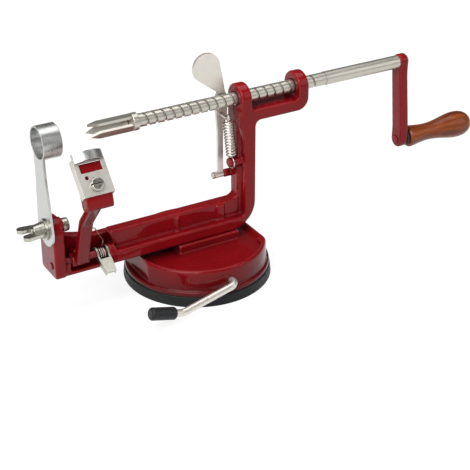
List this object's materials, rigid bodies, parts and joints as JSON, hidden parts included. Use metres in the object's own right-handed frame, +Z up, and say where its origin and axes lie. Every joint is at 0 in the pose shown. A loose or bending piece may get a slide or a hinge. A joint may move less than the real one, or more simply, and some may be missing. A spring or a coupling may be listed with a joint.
{
  "type": "apple peeler corer",
  "caption": "Hand-cranked apple peeler, corer and slicer: a feed screw drives fruit past a sprung peeling arm and a ring corer, on a suction foot.",
  "frame": {"origin": "on the table, at the centre of the round suction foot", "axes": "+X along the feed screw towards the crank, -Y towards the user, +Z up"},
  "size_m": [0.3619, 0.1095, 0.1544],
  "materials": {
    "red_enamel": "gloss enamel over cast iron",
    "nickel_plate": "bright nickel plate",
    "zinc_plate": "zinc plate",
    "stainless_steel": "ground stainless steel",
    "spring_steel": "drawn spring wire",
    "black_rubber": "matt rubber",
    "black_plastic": "dipped vinyl",
    "varnished_wood": "varnished hardwood"
  },
  "bodies": {
    "frame": {"frame_casting": "red_enamel", "base_dome": "red_enamel", "base_screw_left": "zinc_plate", "base_screw_right": "zinc_plate", "suction_pad": "black_rubber", "lever_pin": "nickel_plate", "arm_pin": "zinc_plate", "slicer_bolt": "zinc_plate"},
    "sleeve": {"shaft_sleeve": "nickel_plate"},
    "crank": {"feed_screw": "nickel_plate", "fruit_fork": "nickel_plate", "crank_arm": "red_enamel", "crank_screw": "nickel_plate", "handle_spindle": "zinc_plate", "handle_washer": "zinc_plate"},
    "handle": {"wood_handle": "varnished_wood"},
    "lever": {"release_lever": "nickel_plate", "lever_spring": "spring_steel"},
    "slicer": {"corer_slicer": "stainless_steel"},
    "washer": {"slicer_washer": "zinc_plate"},
    "nut": {"wing_nut": "zinc_plate"},
    "arm": {"peel_arm": "red_enamel", "blade_carrier": "nickel_plate", "carrier_screw": "nickel_plate", "peel_blade": "stainless_steel", "arm_spring": "spring_steel"},
    "latch": {"arm_latch": "zinc_plate"},
    "suction_lever": {"suction_rod": "nickel_plate", "suction_grip": "black_plastic"},
    "stud": {"lift_stud": "zinc_plate"}
  },
  "joints": [
    {"name": "shaft_feed", "type": "slide", "parent": "frame", "child": "sleeve", "axis": [1, 0, 0], "range_m": [-0.0621, 0.0551]},
    {"name": "crank_turn", "type": "hinge", "parent": "sleeve", "child": "crank", "pos_m": [0.13, 0, 0.1214], "axis": [1, 0, 0], "range_deg": [-3515, 3118.1]},
    {"name": "handle_spin", "type": "hinge", "parent": "crank", "child": "handle", "pos_m": [0.2, 0, 0.0605], "axis": [1, 0, 0], "continuous": true},
    {"name": "lever_release", "type": "hinge", "parent": "frame", "child": "lever", "pos_m": [0.0226, 0.0066, 0.065], "axis": [1, 0, 0], "range_deg": [-12, 0], "stiffness_Nm_per_rad": 0.08, "springref_deg": 57.3, "deforming": ["lever_spring"]},
    {"name": "slicer_swing", "type": "hinge", "parent": "frame", "child": "slicer", "pos_m": [-0.1098, -0.0028, 0.0628], "axis": [1, 0, 0], "range_deg": [-100, 0]},
    {"name": "washer_slide", "type": "slide", "parent": "frame", "child": "washer", "axis": [1, 0, 0], "range_m": [-0.003, 0]},
    {"name": "nut_turn", "type": "hinge", "parent": "washer", "child": "nut", "pos_m": [-0.115, -0.0028, 0.0628], "axis": [1, 0, 0], "range_deg": [-1080, 0]},
    {"name": "arm_swing", "type": "hinge", "parent": "frame", "child": "arm", "pos_m": [-0.09, -0.005, 0.0365], "axis": [1, 0, 0], "range_deg": [-7, 35], "stiffness_Nm_per_rad": 0.35, "springref_deg": -1.89},
    {"name": "latch_turn", "type": "hinge", "parent": "frame", "child": "latch", "pos_m": [-0.074, -0.005, 0.0365], "axis": [1, 0, 0], "range_deg": [-78, 0]},
    {"name": "suction_turn", "type": "hinge", "parent": "frame", "child": "suction_lever", "pos_m": [0, -0.03, 0.0155], "axis": [0, 1, 0], "range_deg": [0, 180]},
    {"name": "stud_lift", "type": "slide", "parent": "frame", "child": "stud", "axis": [0, 0, 1], "range_m": [0, 0.0024]}
  ],
  "couplings": [
    {"joint": "shaft_feed", "follows": "crank_turn", "m_per_rad": 0.0010106},
    {"joint": "nut_turn", "follows": "washer_slide", "rad_per_m": 6283},
    {"joint": "suction_turn", "follows": "stud_lift", "rad_per_m": 1308.9}
  ]
}
